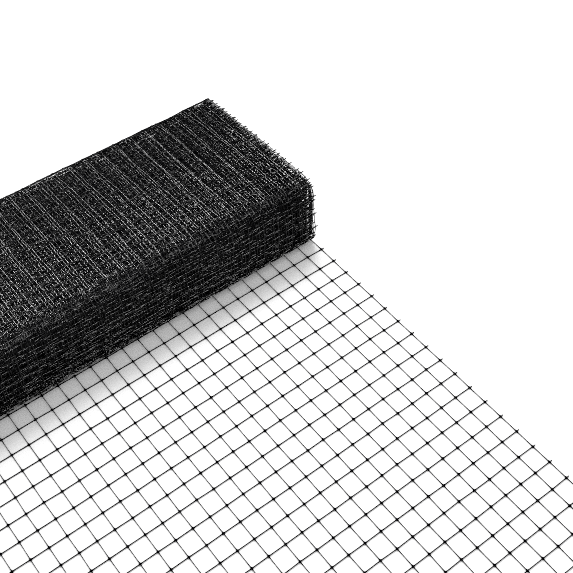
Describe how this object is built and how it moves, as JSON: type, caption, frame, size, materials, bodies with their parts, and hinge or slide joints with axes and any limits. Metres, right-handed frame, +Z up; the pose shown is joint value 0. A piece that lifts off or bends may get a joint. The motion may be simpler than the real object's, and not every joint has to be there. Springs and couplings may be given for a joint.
{
  "type": "bird netting roll",
  "caption": "Black plastic mesh netting wound into a soft, flattened roll, with its loose end spread flat in front.",
  "frame": {"origin": "middle of the footprint of the roll and its loose end together, on the surface that they lie on", "axes": "+X along the roll's axis, to the right as seen from the free end of the net; +Y from the free end towards the roll; +Z up"},
  "size_m": [0.916, 0.6358, 0.0884],
  "materials": {
    "black_net_plastic": "satin"
  },
  "bodies": {
    "root": {"wound_roll": "black_net_plastic", "loose_end": "black_net_plastic"}
  },
  "joints": []
}
